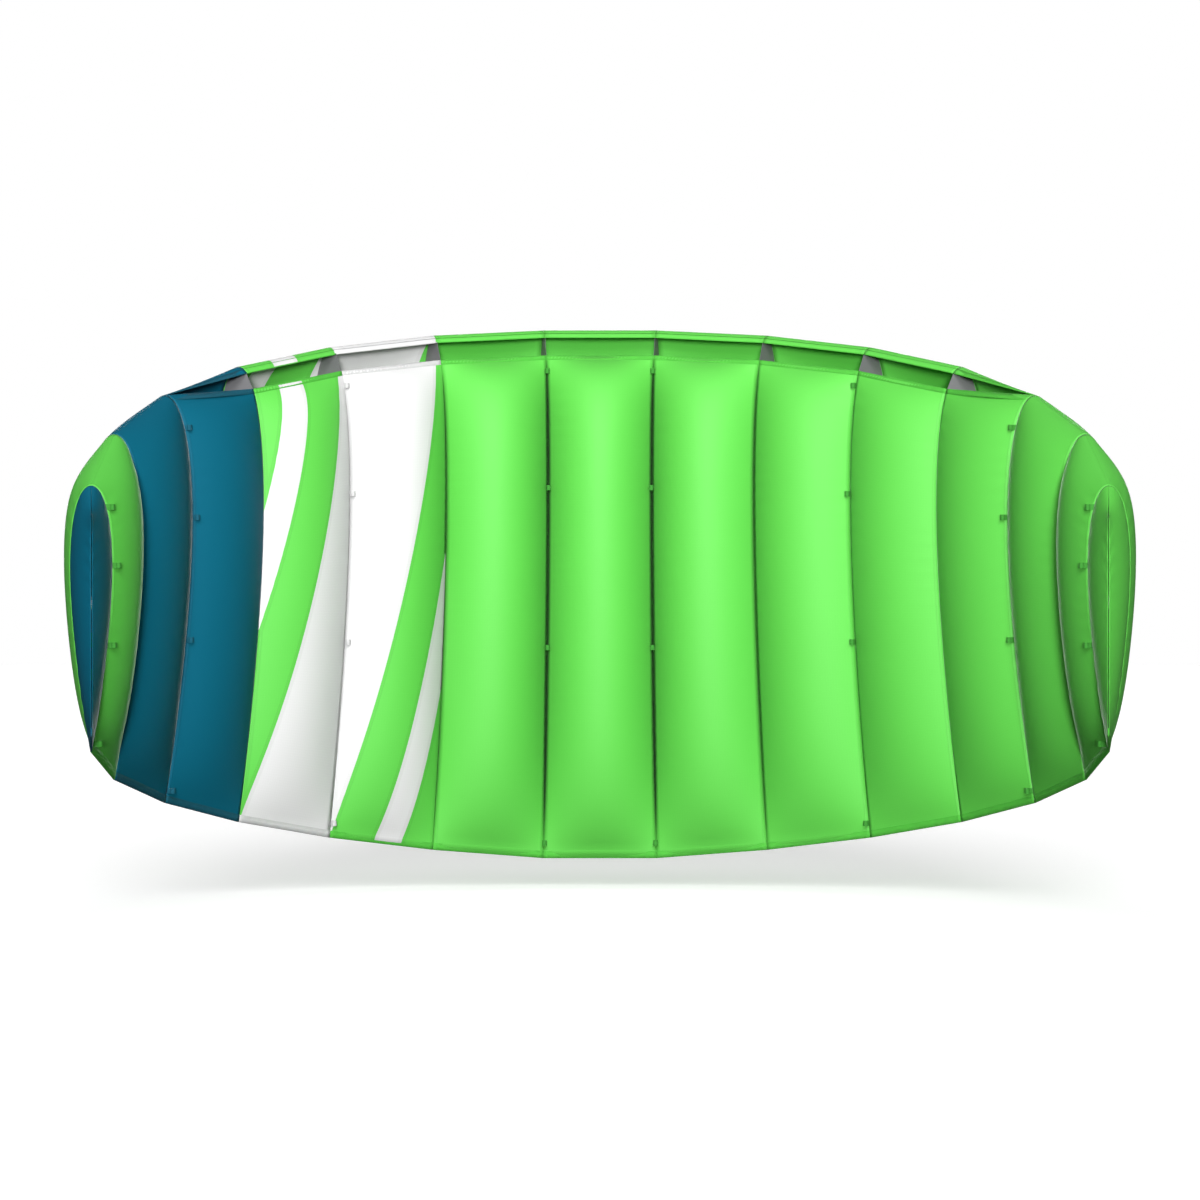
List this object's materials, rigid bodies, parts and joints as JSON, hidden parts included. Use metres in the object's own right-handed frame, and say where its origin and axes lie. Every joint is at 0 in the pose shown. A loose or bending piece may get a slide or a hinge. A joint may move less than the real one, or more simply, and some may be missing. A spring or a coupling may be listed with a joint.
{
  "type": "ram-air foil kite",
  "caption": "Inflated ram-air foil kite canopy: an arched wing of sewn cloth cells with nose air intakes, ribs inside and webbing bridle loops, whose halves fold in at their ribs.",
  "frame": {"origin": "the pull point on the lower skin at mid-span, level with the main bridle row at 30 % of the chord", "axes": "+X along the span to the pilot's right, +Y away from the pilot to the upper skin, +Z from the trailing edge to the nose"},
  "size_m": [1.8856, 1.1688, 1.033],
  "materials": {
    "green_cloth": "coated ripstop, soft sheen",
    "teal_cloth": "coated ripstop, soft sheen",
    "rib_cloth": "coated ripstop, matt",
    "tape": "woven binding tape",
    "webbing": "woven webbing"
  },
  "bodies": {
    "centre": {"upper_panel_centre": "green_cloth", "lower_panel_centre": "green_cloth", "upper_panel_left_1": "green_cloth", "lower_panel_left_1": "green_cloth", "rib_left_1": "rib_cloth", "rib_left_2": "rib_cloth", "upper_panel_right_1": "green_cloth", "lower_panel_right_1": "green_cloth", "rib_right_1": "rib_cloth", "rib_right_2": "rib_cloth", "intake_tapes_centre": "tape", "bridle_tabs_centre": "webbing"},
    "left_inner": {"upper_panel_left_2": "green_cloth", "upper_panel_left_3": "green_cloth", "lower_panel_left_2": "green_cloth", "lower_panel_left_3": "green_cloth", "rib_left_3": "rib_cloth", "rib_left_4": "rib_cloth", "intake_tapes_left": "tape", "bridle_tabs_left_inner": "webbing"},
    "left_outer": {"upper_panel_left_4": "teal_cloth", "upper_panel_left_5": "teal_cloth", "lower_panel_left_4": "teal_cloth", "lower_panel_left_5": "teal_cloth", "rib_left_5": "rib_cloth", "rib_left_6": "rib_cloth", "bridle_tabs_left_outer": "webbing"},
    "left_tip": {"upper_panel_left_6": "green_cloth", "upper_panel_left_7": "teal_cloth", "lower_panel_left_6": "green_cloth", "lower_panel_left_7": "teal_cloth", "rib_left_7": "rib_cloth", "bridle_tabs_left_tip": "webbing"},
    "right_inner": {"upper_panel_right_2": "green_cloth", "upper_panel_right_3": "green_cloth", "lower_panel_right_2": "green_cloth", "lower_panel_right_3": "green_cloth", "rib_right_3": "rib_cloth", "rib_right_4": "rib_cloth", "intake_tapes_right": "tape", "bridle_tabs_right_inner": "webbing"},
    "right_outer": {"upper_panel_right_4": "green_cloth", "upper_panel_right_5": "green_cloth", "lower_panel_right_4": "green_cloth", "lower_panel_right_5": "green_cloth", "rib_right_5": "rib_cloth", "rib_right_6": "rib_cloth", "bridle_tabs_right_outer": "webbing"},
    "right_tip": {"upper_panel_right_6": "green_cloth", "upper_panel_right_7": "green_cloth", "lower_panel_right_6": "green_cloth", "lower_panel_right_7": "green_cloth", "rib_right_7": "rib_cloth", "bridle_tabs_right_tip": "webbing"}
  },
  "joints": [
    {"name": "fold_left_inner", "type": "hinge", "parent": "centre", "child": "left_inner", "pos_m": [-0.29747, -0.05551, 0], "axis": [0, 0, 1], "range_deg": [0, 12], "stiffness_Nm_per_rad": 3},
    {"name": "fold_left_outer", "type": "hinge", "parent": "left_inner", "child": "left_outer", "pos_m": [-0.63, -0.28438, 0], "axis": [0, 0, 1], "range_deg": [0, 16], "stiffness_Nm_per_rad": 3},
    {"name": "fold_left_tip", "type": "hinge", "parent": "left_outer", "child": "left_tip", "pos_m": [-0.82088, -0.64872, 0], "axis": [0, 0, 1], "range_deg": [0, 20], "stiffness_Nm_per_rad": 3},
    {"name": "fold_right_inner", "type": "hinge", "parent": "centre", "child": "right_inner", "pos_m": [0.29747, -0.05551, 0], "axis": [0, 0, -1], "range_deg": [0, 12], "stiffness_Nm_per_rad": 3},
    {"name": "fold_right_outer", "type": "hinge", "parent": "right_inner", "child": "right_outer", "pos_m": [0.63, -0.28438, 0], "axis": [0, 0, -1], "range_deg": [0, 16], "stiffness_Nm_per_rad": 3},
    {"name": "fold_right_tip", "type": "hinge", "parent": "right_outer", "child": "right_tip", "pos_m": [0.82088, -0.64872, 0], "axis": [0, 0, -1], "range_deg": [0, 20], "stiffness_Nm_per_rad": 3}
  ]
}
